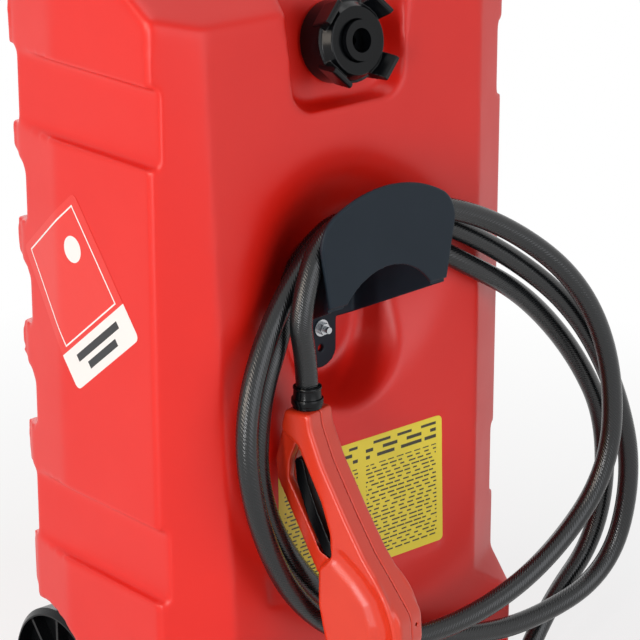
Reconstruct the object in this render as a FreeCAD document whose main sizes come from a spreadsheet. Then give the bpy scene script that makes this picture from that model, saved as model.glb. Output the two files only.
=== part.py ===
import FreeCAD, Part
import os
from math import asin, atan2, cos, pi, radians, sin, sqrt, tan
from FreeCAD import Placement, Rotation, Vector

# Portable fuel caddy: a tall blow-moulded tank on two wheels, with a hose hook,
# a hand pump on a coiled hose and a lugged filler cap. Millimetres, +Z up, X to
# the right and -Y to the front. The origin lies on the floor, under the tank's flat foot.

doc = FreeCAD.newDocument("fuel_caddy")
sheet = doc.addObject("Spreadsheet::Sheet", "sizes")

SIZES = [
    # tank, plan and height
    ("tank_width", 415.0),
    ("tank_height", 857.0),
    ("tank_wall", 4.5),
    ("shoulder_drop", 124.0),
    ("shoulder_height", "=tank_height - shoulder_drop"),
    ("ridge_front", 112.0),
    ("crease_rear", 25.0),
    ("crease_bulge", 1.5),
    ("rear_inset", 10.0),
    ("rear_reach_low", 96.0),
    ("rear_reach_high", 106.0),
    ("front_reach_low", 147.5),
    ("front_reach_high", 129.0),
    ("panel_inset_low", 59.5),
    ("panel_inset_high", 45.5),
    ("panel_half_low", "=tank_width / 2 - panel_inset_low"),
    ("panel_half_high", "=tank_width / 2 - panel_inset_high"),
    ("corner_radius", 13.0),
    ("foot_height", 124.0),
    ("foot_blend", 32.0),
    ("foot_corner", 9.0),
    ("plateau_front", 60.0),
    ("edge_round", 7.0),
    ("underside_rise", 14.0),
    ("underside_front", 22.0),
    # bands round the sides and grooves across the rear
    ("band_depth", 9.0),
    ("band_rear_depth", 10.0),
    ("band_height", 70.0),
    ("low_band_bottom", 216.0),
    ("high_band_drop", 117.0),
    ("high_band_bottom", "=shoulder_height - high_band_drop"),
    ("band_round", 5.0),
    ("groove_depth", 20.0),
    ("groove_height", 67.0),
    ("groove_slope", 20.0),
    ("groove_lip", 6.0),
    ("groove_round", 7.0),
    ("groove_first", 329.0),
    ("groove_pitch", 98.5),
    # pocket round the filler neck
    ("pocket_half", 57.0),
    ("pocket_drop", 50.0),
    ("pocket_flare", 14.0),
    ("pocket_flare_length", 34.0),
    ("pocket_round", 24.0),
    # dish behind the hook
    ("dish_top_centre", 494.0),
    ("dish_top_radius", 104.0),
    ("dish_foot_centre", 398.0),
    ("dish_foot_radius", 52.0),
    ("dish_spread", 20.0),
    ("dish_floor_reach", 88.0),
    ("dish_round", 12.0),
    # shallow seat of the front label
    ("label_width", 208.0),
    ("label_height", 131.0),
    ("label_bottom", 199.0),
    ("label_margin", 5.0),
    ("label_sink", 1.4),
    ("label_round", 9.0),
    # hand pocket and grip at the top
    ("grip_width", 150.0),
    ("grip_drop", 45.0),
    ("grip_bottom", "=tank_height - grip_drop"),
    ("hand_depth", 38.0),
    ("hand_length", 70.0),
    ("hand_round", 16.0),
    # wheels and axle
    ("wheel_radius", 70.0),
    ("wheel_width", 44.0),
    ("wheel_inset", 12.5),
    ("wheel_reach", "=tank_width / 2 - wheel_inset"),
    ("wheel_rear", 70.0),
    ("arch_gap", 13.0),
    ("arch_side_gap", 7.0),
    ("tread_bevel", 5.0),
    ("rim_thickness", 6.5),
    ("wheel_dish", 15.0),
    ("wheel_hollow", 23.0),
    ("hub_radius", 15.0),
    ("hub_recess", 2.5),
    ("spoke_thickness", 3.2),
    ("spoke_recess", 3.0),
    ("axle_radius", 6.0),
    ("axle_slack", 0.06),
    ("tunnel_slack", 0.25),
    ("axle_inset", 7.5),
    ("axle_reach", "=tank_width / 2 - axle_inset"),
    ("washer_radius", 12.5),
    ("washer_thickness", 1.8),
    ("side_play", 0.35),
    ("hub_cap_radius", 11.0),
    ("hub_cap_length", 9.0),
    # filler neck and cap
    ("cap_tilt", 11.0),
    ("cap_drop", 38.0),
    ("cap_height", "=shoulder_height - cap_drop"),
    ("cap_reach", 104.0),
    ("neck_radius", 28.0),
    ("neck_bore", 22.5),
    ("neck_length", 20.0),
    ("ring_radius", 37.0),
    ("ring_start", 3.0),
    ("ring_nose_radius", 30.0),
    ("ring_nose_length", 9.0),
    ("ring_slack", 0.5),
    ("ring_top", 4.0),
    ("lug_width", 24.0),
    ("lug_reach", 43.0),
    ("lug_rise", 18.0),
    ("lug_thickness", 5.0),
    ("gasket_thickness", 2.5),
    ("port_flange", 3.0),
    ("port_radius", 18.0),
    ("port_bore", 10.8),
    ("port_rise", 18.0),
    ("port_floor", 5.0),
    ("spigot_radius", 6.5),
    ("spigot_bore", 4.5),
    ("spigot_length", 42.0),
    ("pickup_radius", 9.5),
    ("pickup_bend", 45.0),
    ("pickup_lap", 26.0),
    ("pickup_back", 62.0),
    # hose hook
    ("hook_reach", 186.0),
    ("hook_flange_thickness", 4.5),
    ("hook_flange_half", 79.5),
    ("hook_flange_top", 581.0),
    ("hook_flange_foot", 481.0),
    ("hook_front_radius", 70.0),
    ("hook_front_height", 478.0),
    ("hook_root_radius", 43.0),
    ("hook_root_height", 456.0),
    ("hook_leg_drop", 26.0),
    ("hook_wall", 4.0),
    ("hook_window_radius", 61.0),
    ("hook_window_top", 507.0),
    ("hook_plate", 4.5),
    ("ear_half", 19.0),
    ("ear_foot", 386.0),
    ("stud_low", 425.0),
    ("stud_high", 475.0),
    ("spare_hole", 405.0),
    ("stud_radius", 3.0),
    ("stud_length", 19.0),
    ("stud_root", 2.5),
    ("hole_slack", 0.3),
    ("nut_flat", 10.0),
    ("nut_height", 5.0),
    ("hook_washer_radius", 8.0),
    ("hook_washer", 1.4),
    ("seat_gap", 0.05),
    # hand pump
    ("pump_x", -75.7),
    ("pump_y", -212.0),
    ("pump_turn", 15.0),
    ("pump_half", 19.0),
    ("pump_wall", 2.6),
    ("pump_seam", 0.1),
    ("pump_edge", 4.0),
    ("guard_half", 9.5),
    ("collar_radius", 14.5),
    ("collar_length", 20.0),
    ("collar_foot", 392.0),
    ("collar_s", -40.0),
    ("duct_radius", 5.5),
    ("duct_bore", 4.2),
    ("valve_radius", 13.0),
    ("valve_foot", 203.0),
    ("valve_rise", 38.0),
    ("spout_s", 30.0),
    ("spout_radius", 10.5),
    ("spout_bore", 8.5),
    ("spout_foot", 62.0),
    ("spout_root", 9.6),
    ("spout_step", 163.0),
    ("trigger_half", 8.0),
    ("trigger_s", -3.0),
    ("trigger_height", 245.0),
    ("trigger_gap", 0.6),
    ("pin_radius", 2.5),
    ("pin_slack", 0.05),
    ("spring_radius", 3.4),
    ("spring_wire", 0.6),
    ("spring_turns", 5.0),
    ("spring_s", 2.0),
    ("spring_shelf", 210.0),
    ("shelf_thickness", 3.0),
    ("spring_gap", 0.3),
    ("trigger_foot", 233.0),
    ("screw_radius", 1.8),
    ("screw_head", 3.6),
    ("screw_head_rise", 2.0),
    # hose and the connector on its far end
    ("hose_radius", 10.0),
    ("connector_radius", 14.0),
    ("connector_length", 40.0),
    ("connector_nose", 10.5),
    ("connector_nose_length", 24.0),
    ("connector_bore", 6.8),
]

for row, (alias, amount) in enumerate(SIZES, start=1):
    sheet.set(f"A{row}", alias)
    sheet.set(f"B{row}", str(amount))
    sheet.setAlias(f"B{row}", alias)
doc.recompute()


def size(alias):
    return float(sheet.get(alias))


X_AXIS = Vector(1, 0, 0)
Y_AXIS = Vector(0, 1, 0)
Z_AXIS = Vector(0, 0, 1)
FAR = 400.0


def feature_of(name, shape, placement=None):
    feature = doc.addObject("Part::Feature", name)
    feature.Label = name
    feature.Shape = shape
    if placement:
        feature.Placement = placement.multiply(shape.Placement)
    return feature


def primitive(kind, name, placement=None, **expressions):
    """A Part primitive whose sizes and place are expressions of the sheet."""
    feature = doc.addObject(f"Part::{kind}", name)
    if placement:
        feature.Placement = placement
    for prop, expression in expressions.items():
        path = f"Placement.Base.{prop}" if prop in ("x", "y", "z") else prop
        feature.setExpression(path, expression)
    return feature


def cut(name, base, tool):
    feature = doc.addObject("Part::Cut", name)
    feature.Base = base
    feature.Tool = tool
    feature.Label = name
    return feature


def fuse(name, shapes):
    feature = doc.addObject("Part::MultiFuse", name)
    feature.Shapes = shapes
    feature.Label = name
    return feature


def group(name, links):
    feature = doc.addObject("Part::Compound", name)
    feature.Links = links
    feature.Label = name
    return feature


def between(low, high, share):
    return low + (high - low) * share


def offset_points(points, inset):
    """Moves each side of a counter-clockwise outline inwards by inset."""
    moved = []
    for i, corner in enumerate(points):
        into = (corner - points[i - 1]).normalize()
        out = (points[(i + 1) % len(points)] - corner).normalize()
        normal_in = Vector(-into.y, into.x, 0)
        normal_out = Vector(-out.y, out.x, 0)
        share = inset / (1 + normal_in.dot(normal_out))
        moved.append(corner + (normal_in + normal_out) * share)
    return moved


def rounded_wire(points, radii):
    """A closed wire of straight sides, with an arc of its own radius at each corner."""
    starts, middles, ends = [], [], []
    for i, corner in enumerate(points):
        into = (corner - points[i - 1]).normalize()
        out = (points[(i + 1) % len(points)] - corner).normalize()
        half_turn = into.getAngle(out) / 2
        setback = radii[i] * tan(half_turn)
        inward = (out - into).normalize()
        starts.append(corner - into * setback)
        ends.append(corner + out * setback)
        middles.append(corner + inward * radii[i] * (1 / cos(half_turn) - 1))
    edges = []
    for i in range(len(points)):
        edges.append(Part.LineSegment(ends[i - 1], starts[i]).toShape())
        edges.append(Part.Arc(starts[i], middles[i], ends[i]).toShape())
    return Part.Wire(edges)


def prism(points, radii, inset, placement, length):
    """An outline drawn in XY, moved inwards, extruded along Z and then placed."""
    outline = rounded_wire(offset_points(points, inset), radii)
    solid = Part.Face(outline).extrude(Z_AXIS * length)
    solid.Placement = placement
    return solid


def outline(pairs):
    return [Vector(across, up, 0) for across, up in pairs]


# Planes for outlines: drawn X and Y become the named world axes
ALONG_Y = Rotation(X_AXIS, Z_AXIS, Y_AXIS * -1, "ZXY")
ALONG_X = Rotation(Y_AXIS, Z_AXIS, X_AXIS, "ZXY")

tank_half = size("tank_width") / 2
wall = size("tank_wall")


# Tank

def plan_section(height, squared):
    """Eight corners of the tank's plan at a height, counter-clockwise."""
    foot = size("foot_height") + size("foot_blend")
    rise = (height - foot) / (size("shoulder_height") - foot)
    front = between(size("front_reach_low"), size("front_reach_high"), max(rise, 0))
    rear = between(size("rear_reach_low"), size("rear_reach_high"), max(rise, 0))
    panel_half = between(size("panel_half_low"), size("panel_half_high"), max(rise, 0))
    ridge = size("ridge_front")
    if squared:
        panel_half = tank_half - size("foot_corner")
        ridge = front - size("foot_corner")
    bulge = tank_half + size("crease_bulge")
    rear_half = tank_half - size("rear_inset")
    crease = size("crease_rear")
    return outline([
        (-panel_half, -front), (panel_half, -front), (tank_half, -ridge), (bulge, crease),
        (rear_half, rear), (-rear_half, rear), (-bulge, crease), (-tank_half, -ridge)])


def hull(inset):
    """The tank's body without its recesses, moved inwards by inset."""
    radius = size("corner_radius") - inset
    foot, blend = size("foot_height"), size("foot_blend")
    levels = [(inset, True), (foot, True), (foot + blend, False), (size("tank_height"), False)]
    wires = []
    for height, squared in levels:
        corner = (size("foot_corner") if squared else size("corner_radius")) / 2
        front_radii = [corner, corner, corner, corner]
        radii = front_radii[:3] + [radius * 4] + [radius, radius] + [radius * 4] + front_radii[3:]
        wire = rounded_wire(offset_points(plan_section(height, squared), inset), radii)
        wire.translate(Z_AXIS * height)
        wires.append(wire)
    body = Part.makeLoft(wires, True, True)
    return body.cut(roof(inset))


def roof_slope():
    rise = size("tank_height") - size("shoulder_height")
    return rise / (size("plateau_front") + size("front_reach_high"))


def roof(inset):
    """What lies above the sloped top and the plateau behind it."""
    slope = roof_slope()
    drop = inset * sqrt(1 + slope * slope)
    plateau = size("tank_height") - inset
    bend = size("plateau_front") + (drop - inset) / slope
    start = -FAR
    low = size("shoulder_height") - drop + (start + size("front_reach_high")) * slope
    corners = outline([(start, low), (bend, plateau), (FAR, plateau), (FAR, 3 * FAR), (start, 3 * FAR)])
    side = Part.Face(Part.makePolygon(corners + corners[:1]))
    solid = side.extrude(Z_AXIS * 2 * FAR)
    solid.Placement = Placement(Vector(-FAR, 0, 0), ALONG_X)
    return solid


def rear_reach(height):
    return plan_section(height, False)[4].y


def band(bottom, grow):
    """The recess that wraps the sides and the rear at one height."""
    floor = tank_half - size("band_depth") - grow
    height = size("band_height") + 2 * grow
    low = bottom - grow
    solids = []
    for sign in (-1, 1):
        start = floor if sign > 0 else -floor - FAR
        slab = Part.makeBox(FAR, 2 * FAR, height, Vector(start, -FAR, low))
        edges = [edge for edge in slab.Edges
                 if abs(edge.CenterOfMass.x - sign * floor) < 0.01 and abs(edge.tangentAt(0).y) > 0.9]
        solids.append(slab.makeFillet(size("band_round"), edges))
    rear = rear_reach(bottom) - size("band_rear_depth") - grow
    slab = Part.makeBox(2 * FAR, FAR, height, Vector(-FAR, rear, low))
    edges = [edge for edge in slab.Edges
             if abs(edge.CenterOfMass.y - rear) < 0.01 and abs(edge.tangentAt(0).x) > 0.9]
    solids.append(slab.makeFillet(size("band_round"), edges))
    return solids


def groove(bottom, grow):
    """One groove across the rear: a soft slope above and a square step below."""
    rear = rear_reach(bottom) + 0.6
    floor = rear - size("groove_depth")
    top = bottom + size("groove_height")
    lip = size("groove_lip")
    corners = outline([
        (floor, bottom), (rear, bottom), (rear, bottom - lip), (FAR, bottom - lip),
        (FAR, top + lip), (rear, top + lip), (rear, top), (floor, top - size("groove_slope"))])
    round_off = size("groove_round")
    radii = [round_off, lip - 1, 0.1, 0.1, 0.1, 0.1, lip - 1, 2 * round_off]
    return prism(corners, radii, -grow, Placement(Vector(-FAR, 0, 0), ALONG_X), 2 * FAR)


def cap_frame(along=0.0):
    """Local Z runs out of the filler neck; the pocket's wall is at zero."""
    base = Vector(0, -size("cap_reach"), size("cap_height"))
    turn = Rotation(X_AXIS, 90 - size("cap_tilt"))
    return Placement(base + turn.multVec(Z_AXIS) * along, turn)


def pocket(grow):
    """The pocket that the cap sits in, open to the front and to the top."""
    wires = []
    for along, flare in ((-grow, 0.0), (size("pocket_flare_length"), size("pocket_flare")),
                         (3 * size("pocket_flare_length"), 2 * size("pocket_flare"))):
        half = size("pocket_half") + flare
        drop = size("pocket_drop") + flare
        corners = outline([(-half, -drop), (half, -drop), (half, FAR), (-half, FAR)])
        radius = size("pocket_round") + grow
        wire = rounded_wire(offset_points(corners, -grow), [radius, radius, 1, 1])
        wire.Placement = cap_frame(along)
        wires.append(wire)
    return Part.makeLoft(wires, True, True)


def egg_wire(grow, reach):
    """An upright egg in the plane y = -reach: a wide arc above, a tighter one below."""
    high, low = size("dish_top_radius") + grow, size("dish_foot_radius") + grow
    high_centre, low_centre = size("dish_top_centre"), size("dish_foot_centre")
    lean = asin((high - low) / (high_centre - low_centre))

    def on_arc(radius, centre, angle):
        return Vector(radius * cos(angle), -reach, centre + radius * sin(angle))

    corners = [on_arc(high, high_centre, -lean), on_arc(high, high_centre, pi + lean),
               on_arc(low, low_centre, pi + lean), on_arc(low, low_centre, -lean)]
    return Part.Wire([
        Part.Arc(corners[0], on_arc(high, high_centre, pi / 2), corners[1]).toShape(),
        Part.LineSegment(corners[1], corners[2]).toShape(),
        Part.Arc(corners[2], on_arc(low, low_centre, -pi / 2), corners[3]).toShape(),
        Part.LineSegment(corners[3], corners[0]).toShape()])


def dish(grow):
    """The egg-shaped dish that the hook is bolted in."""
    floor, mouth = size("dish_floor_reach"), size("front_reach_low")
    slope = size("dish_spread") / (mouth - floor)
    out = 40
    wires = [egg_wire(grow - size("dish_spread") - slope * grow, floor - grow),
             egg_wire(grow + slope * out, mouth + out)]
    bowl = Part.makeLoft(wires, True, True)
    edges = [edge for edge in bowl.Edges if abs(edge.CenterOfMass.y + floor - grow) < 0.01]
    return bowl.makeFillet(size("dish_round"), edges)


def front_lean():
    rise = size("shoulder_height") - size("foot_height") - size("foot_blend")
    return atan2(size("front_reach_low") - size("front_reach_high"), rise)


def front_frame(height, out=0.0):
    """On the leaning front face at a height: X across, Y up the face, Z out of it."""
    start = size("foot_height") + size("foot_blend")
    reach = size("front_reach_low") - (height - start) * tan(front_lean())
    normal = Vector(0, -cos(front_lean()), sin(front_lean()))
    up = Vector(0, sin(front_lean()), cos(front_lean()))
    turn = Rotation(X_AXIS, up, normal, "ZXY")
    return Placement(Vector(0, -reach, height) + normal * out, turn)


def label_seat():
    half = size("label_width") / 2 + size("label_margin")
    low = -size("label_margin")
    high = size("label_height") + size("label_margin")
    corners = outline([(-half, low), (half, low), (half, high), (-half, high)])
    frame = front_frame(size("label_bottom"), -size("label_sink"))
    return prism(corners, [size("label_round")] * 4, 0, frame, 20)


def wheel_arch(sign, grow):
    """Room for one wheel: a drum round it, open below and to the rear."""
    radius = size("wheel_radius") + size("arch_gap") + grow
    inner = size("wheel_reach") - size("wheel_width") - size("arch_side_gap") - grow
    centre = Vector(sign * inner, size("wheel_rear"), size("wheel_radius"))
    drum = Part.makeCylinder(radius, FAR, centre, X_AXIS * sign)
    start = inner if sign > 0 else -inner - FAR
    low = Vector(start, size("wheel_rear") - radius, -FAR)
    below = Part.makeBox(FAR, FAR, FAR + size("wheel_radius"), low)
    return drum.fuse(below)


def hand_room(grow):
    """The pocket in front of the grip and the opening under it."""
    half = size("grip_width") / 2
    top = size("grip_bottom")
    low = top - size("hand_depth")
    radius = size("hand_round") + grow
    front = size("plateau_front") - size("hand_length")
    under = outline([(-half, low), (half, low), (half, top), (-half, top)])
    through = prism(under, [radius] * 4, -grow,
                    Placement(Vector(0, FAR, 0), ALONG_Y), FAR - front + grow)
    over = outline([(-half, low), (half, low), (half, 3 * FAR), (-half, 3 * FAR)])
    reach = size("plateau_front") + grow
    above = prism(over, [radius, radius, 1, 1], -grow,
                  Placement(Vector(0, reach, 0), ALONG_Y), reach - front + grow)
    return through.fuse(above)


def axle_tunnel(grow):
    radius = size("axle_radius") + size("tunnel_slack") + grow
    centre = Vector(-FAR, size("wheel_rear"), size("wheel_radius"))
    return Part.makeCylinder(radius, 2 * FAR, centre, X_AXIS)


def underside(grow):
    start = Vector(-FAR, size("underside_front") - grow, -FAR)
    return Part.makeBox(2 * FAR, FAR, FAR + size("underside_rise") + grow, start)


def recesses(grow):
    solids = []
    for bottom in (size("low_band_bottom"), size("high_band_bottom")):
        solids += band(bottom, grow)
    for number in range(3):
        solids.append(groove(size("groove_first") + number * size("groove_pitch"), grow))
    solids += [pocket(grow), dish(grow), hand_room(grow), axle_tunnel(grow), underside(grow)]
    solids += [wheel_arch(sign, grow) for sign in (-1, 1)]
    return solids


def is_top_edge(edge):
    """Edges where the sloped top or the plateau meets the walls."""
    middle = edge.CenterOfMass
    on_slope = abs(middle.z - size("shoulder_height") - (middle.y + size("front_reach_high")) * roof_slope())
    on_plateau = abs(middle.z - size("tank_height"))
    return middle.z > size("shoulder_height") - 3 and min(on_slope, on_plateau) < 1.0


def stud_heights():
    return size("stud_low"), size("stud_high")


def tank_shape():
    outside = hull(0)
    rim = [edge for edge in outside.Edges if is_top_edge(edge)]
    outside = outside.makeFillet(size("edge_round"), rim)
    outside = outside.cut(recesses(0) + [label_seat()])
    neck = Part.makeCylinder(size("neck_radius"), size("neck_length") + wall)
    neck.Placement = cap_frame(-wall)
    cavity = hull(wall).cut(recesses(wall))
    tank = outside.fuse(neck).cut(cavity)
    bore = Part.makeCylinder(size("neck_bore"), size("neck_length") + 3 * wall)
    bore.Placement = cap_frame(-2 * wall)
    roots = []
    for height in stud_heights():
        start = Vector(0, -size("dish_floor_reach") - 1, height)
        roots.append(Part.makeCylinder(size("stud_radius") + size("seat_gap"),
                                       size("stud_root") + 1, start, Y_AXIS))
    return tank.cut([bore] + roots)


tank = feature_of("tank_shell", tank_shape())


# Axle, wheels and what holds them on

def turned(kind, name, radius, length, start, **more):
    """A cylinder whose axis runs to the right along the axle's line."""
    across = Placement(Vector(0, 0, 0), Rotation(Y_AXIS, 90))
    sizes = {"Radius": radius, "Height": length}
    if kind == "Cone":
        sizes = {"Radius1": radius, "Height": length}
    return primitive(kind, name, across, x=start, y="sizes.wheel_rear", z="sizes.wheel_radius",
                     **sizes, **more)


axle = turned("Cylinder", "axle", "sizes.axle_radius", "2 * sizes.axle_reach", "-sizes.axle_reach")


def wheel(name, sign):
    """One moulded wheel: tread, outer dish with spokes, hollow inner side and hub."""
    outer = f"{sign} * sizes.wheel_reach"
    inner = f"{sign} * (sizes.wheel_reach - sizes.wheel_width)"
    left = outer if sign < 0 else inner
    bevel = "sizes.tread_bevel"
    tread = turned("Cylinder", name + "_tread", "sizes.wheel_radius",
                   f"sizes.wheel_width - 2 * {bevel}", f"{left} + {bevel}")
    side_low = turned("Cone", name + "_side_low", f"sizes.wheel_radius - {bevel}", bevel, left,
                      Radius2="sizes.wheel_radius")
    side_high = turned("Cone", name + "_side_high", "sizes.wheel_radius", bevel,
                       f"{left} + sizes.wheel_width - {bevel}", Radius2=f"sizes.wheel_radius - {bevel}")
    blank = fuse(name + "_blank", [tread, side_low, side_high])
    rim = "sizes.wheel_radius - sizes.rim_thickness"
    dish_start = outer if sign < 0 else "sizes.wheel_reach - sizes.wheel_dish"
    dish_tool = turned("Cylinder", name + "_dish", rim, "sizes.wheel_dish", dish_start)
    hollow_start = inner if sign > 0 else f"{inner} - sizes.wheel_hollow"
    hollow_tool = turned("Cylinder", name + "_hollow", rim, "sizes.wheel_hollow", hollow_start)
    disc = cut(name + "_disc", blank, fuse(name + "_rooms", [dish_tool, hollow_tool]))
    hub_left = inner if sign > 0 else f"{outer} + sizes.hub_recess"
    pieces = [disc, turned("Cylinder", name + "_hub", "sizes.hub_radius",
                           "sizes.wheel_width - sizes.hub_recess", hub_left)]
    spokes = 9
    for number in range(spokes):
        spoke = primitive("Box", f"{name}_spoke{number}",
                          Placement(Vector(0, 0, 0), Rotation(X_AXIS, 360.0 * number / spokes)),
                          Length="sizes.wheel_dish - sizes.spoke_recess + 1",
                          Width="sizes.spoke_thickness",
                          Height="sizes.wheel_radius - sizes.rim_thickness - sizes.hub_radius + 4")
        angle = radians(360.0 * number / spokes)
        lift, slide = "(sizes.hub_radius - 2)", "sizes.spoke_thickness / 2"
        spoke_left = (f"{outer} + sizes.spoke_recess" if sign < 0
                      else "sizes.wheel_reach - sizes.wheel_dish - 1")
        spoke.setExpression("Placement.Base.x", spoke_left)
        spoke.setExpression("Placement.Base.y",
                            f"sizes.wheel_rear - {lift} * {sin(angle):.6f} - {slide} * {cos(angle):.6f}")
        spoke.setExpression("Placement.Base.z",
                            f"sizes.wheel_radius + {lift} * {cos(angle):.6f} - {slide} * {sin(angle):.6f}")
        pieces.append(spoke)
    solid = fuse(name + "_solid", pieces)
    bore = turned("Cylinder", name + "_bore", "sizes.axle_radius + sizes.axle_slack",
                  "sizes.wheel_width + 4", f"{left} - 2")
    return cut(name, solid, bore)


def ring_on_axle(name, sign, radius, near, thickness):
    """A washer, from a distance off the middle outwards."""
    start = near if sign > 0 else f"-({near}) - ({thickness})"
    disc = turned("Cylinder", name + "_disc", radius, thickness, start)
    hole = turned("Cylinder", name + "_hole", "sizes.axle_radius + sizes.axle_slack", thickness, start)
    return cut(name, disc, hole)


wheel_left = wheel("wheel_left", -1)
wheel_right = wheel("wheel_right", 1)

arch_wall = "sizes.wheel_reach - sizes.wheel_width - sizes.arch_side_gap"
hub_face = "sizes.wheel_reach - sizes.hub_recess"
axle_spacers = group("axle_spacers", [
    ring_on_axle(f"spacer{sign}", sign, "sizes.washer_radius", f"{arch_wall} + sizes.seat_gap",
                 "sizes.arch_side_gap - sizes.seat_gap - sizes.side_play") for sign in (-1, 1)])
axle_washers = group("axle_washers", [
    ring_on_axle(f"washer{sign}", sign, "sizes.washer_radius", f"{hub_face} + sizes.side_play",
                 "sizes.washer_thickness") for sign in (-1, 1)])


def hub_cap(sign):
    """The push-on cap that grips the end of the axle."""
    near = f"({hub_face} + sizes.side_play + sizes.washer_thickness + sizes.seat_gap)"
    start = near if sign > 0 else f"-{near} - sizes.hub_cap_length"
    drum = turned("Cylinder", f"hub_cap_drum{sign}", "sizes.hub_cap_radius", "sizes.hub_cap_length", start)
    grip = turned("Cylinder", f"hub_cap_grip{sign}", "sizes.axle_radius + sizes.seat_gap",
                  "2 * sizes.axle_reach + 2 * sizes.seat_gap", "-sizes.axle_reach - sizes.seat_gap")
    return cut(f"hub_cap{sign}", drum, grip)


hub_caps = group("hub_caps", [hub_cap(sign) for sign in (-1, 1)])


# Filler cap: lugged ring, port, gasket and pickup tube, along the neck's own axis

cap_turn = Rotation(X_AXIS, 90 - size("cap_tilt"))


def on_cap(kind, name, along, **more):
    """A primitive whose axis is the neck's, starting a distance out of the pocket's wall."""
    feature = primitive(kind, name, Placement(Vector(0, 0, 0), cap_turn), **more)
    feature.setExpression("Placement.Base.y", f"-sizes.cap_reach - ({along}) * cos(sizes.cap_tilt * 1deg)")
    feature.setExpression("Placement.Base.z", f"sizes.cap_height + ({along}) * sin(sizes.cap_tilt * 1deg)")
    return feature


gasket_start = "sizes.neck_length + sizes.seat_gap"
flange_start = f"{gasket_start} + sizes.gasket_thickness + sizes.seat_gap"
flange_end = f"{flange_start} + sizes.port_flange"

gasket = cut("cap_gasket",
             on_cap("Cylinder", "gasket_disc", gasket_start, Radius="sizes.neck_radius",
                    Height="sizes.gasket_thickness"),
             on_cap("Cylinder", "gasket_hole", gasket_start, Radius="sizes.neck_bore",
                    Height="sizes.gasket_thickness"))


def cap_port():
    """The outlet in the middle of the cap, with the spigot that holds the pickup tube."""
    flange = on_cap("Cylinder", "port_flange_disc", flange_start, Radius="sizes.neck_radius",
                    Height="sizes.port_flange")
    barrel = on_cap("Cylinder", "port_barrel", flange_start, Radius="sizes.port_radius",
                    Height="sizes.port_flange + sizes.port_rise")
    spigot = on_cap("Cylinder", "port_spigot", f"{flange_start} - sizes.spigot_length",
                    Radius="sizes.spigot_radius", Height="sizes.spigot_length + 1")
    room = on_cap("Cylinder", "port_room", f"{flange_end} + sizes.port_floor", Radius="sizes.port_bore",
                  Height="sizes.port_rise")
    way = on_cap("Cylinder", "port_way", f"{flange_start} - sizes.spigot_length - 1",
                 Radius="sizes.spigot_bore", Height="sizes.spigot_length + sizes.port_rise")
    return cut("cap_port", fuse("port_blank", [flange, barrel, spigot]), fuse("port_rooms", [room, way]))


def cap_ring():
    """The turned ring with its four lugs; its thread stays plain."""
    length = f"({flange_end} + sizes.seat_gap + sizes.ring_top - sizes.ring_start)"
    skirt = on_cap("Cylinder", "ring_skirt", "sizes.ring_start", Radius="sizes.ring_radius", Height=length)
    nose = on_cap("Cone", "ring_nose", f"sizes.ring_start + {length}", Radius1="sizes.ring_radius - 2",
                  Radius2="sizes.ring_nose_radius", Height="sizes.ring_nose_length")
    room = on_cap("Cylinder", "ring_room", "sizes.ring_start - 1",
                  Radius="sizes.neck_radius + sizes.ring_slack",
                  Height=f"{flange_end} + sizes.seat_gap - sizes.ring_start + 1")
    window = on_cap("Cylinder", "ring_window", "sizes.ring_start",
                    Radius="sizes.port_radius + sizes.ring_slack",
                    Height=f"{length} + sizes.ring_nose_length + 1")
    body = cut("ring_body", fuse("ring_blank", [skirt, nose]), fuse("ring_rooms", [room, window]))
    return fuse("cap_ring", [body] + [lug(number) for number in range(4)])


def lug(number):
    """A blade that flares outwards and forwards from the ring."""
    start = (size("neck_length") + size("gasket_thickness") + size("port_flange") + size("ring_top") - 9)
    end = start + 9 + size("lug_rise")
    inner = size("ring_radius") - size("lug_thickness")
    reach = size("lug_reach")
    side = outline([
        (inner - 3, start), (size("ring_radius") + 1, start), (reach, end - 3), (reach - 1, end),
        (reach - size("lug_thickness"), end - 1), (inner - 1, start + 12)])
    radii = [0.5, 3, 1.5, 0.8, 1.5, 6]
    width = size("lug_width")
    blade = prism(side, radii, 0, Placement(Vector(0, width / 2, 0), Rotation(X_AXIS, 90)), width)
    turn = Placement(Vector(0, 0, 0), Rotation(Z_AXIS, 45 + 90 * number))
    return feature_of(f"ring_lug{number}", blade, cap_frame().multiply(turn))


port = cap_port()
ring = cap_ring()


def pickup_tube():
    """The tube from the cap's spigot down to the tank's floor."""
    lap = size("neck_length") + size("gasket_thickness") - size("spigot_length") + size("pickup_lap")
    top = cap_frame(lap).Base
    bend = cap_frame(-size("pickup_back")).Base
    foot = Vector(0, bend.y, wall + size("hole_slack"))
    path = tangent_path([top, bend, foot], [size("pickup_bend")])
    outside = sweep(path, size("pickup_radius"))
    bore = sweep(path, size("spigot_radius") + size("seat_gap"))
    notch = Part.makeCylinder(size("pickup_radius") / 2, 4 * size("pickup_radius"),
                              foot - X_AXIS * 2 * size("pickup_radius"), X_AXIS)
    return outside.cut([bore, notch])


BEND_SHARE = 0.45


def bend_radii(points):
    """The largest arc at each corner that keeps to its share of the shorter run."""
    radii = []
    for before, corner, after in zip(points, points[1:], points[2:]):
        into, out = corner - before, after - corner
        shorter = min(into.Length, out.Length)
        radii.append(BEND_SHARE * shorter / tan(into.getAngle(out) / 2))
    return radii


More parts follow.
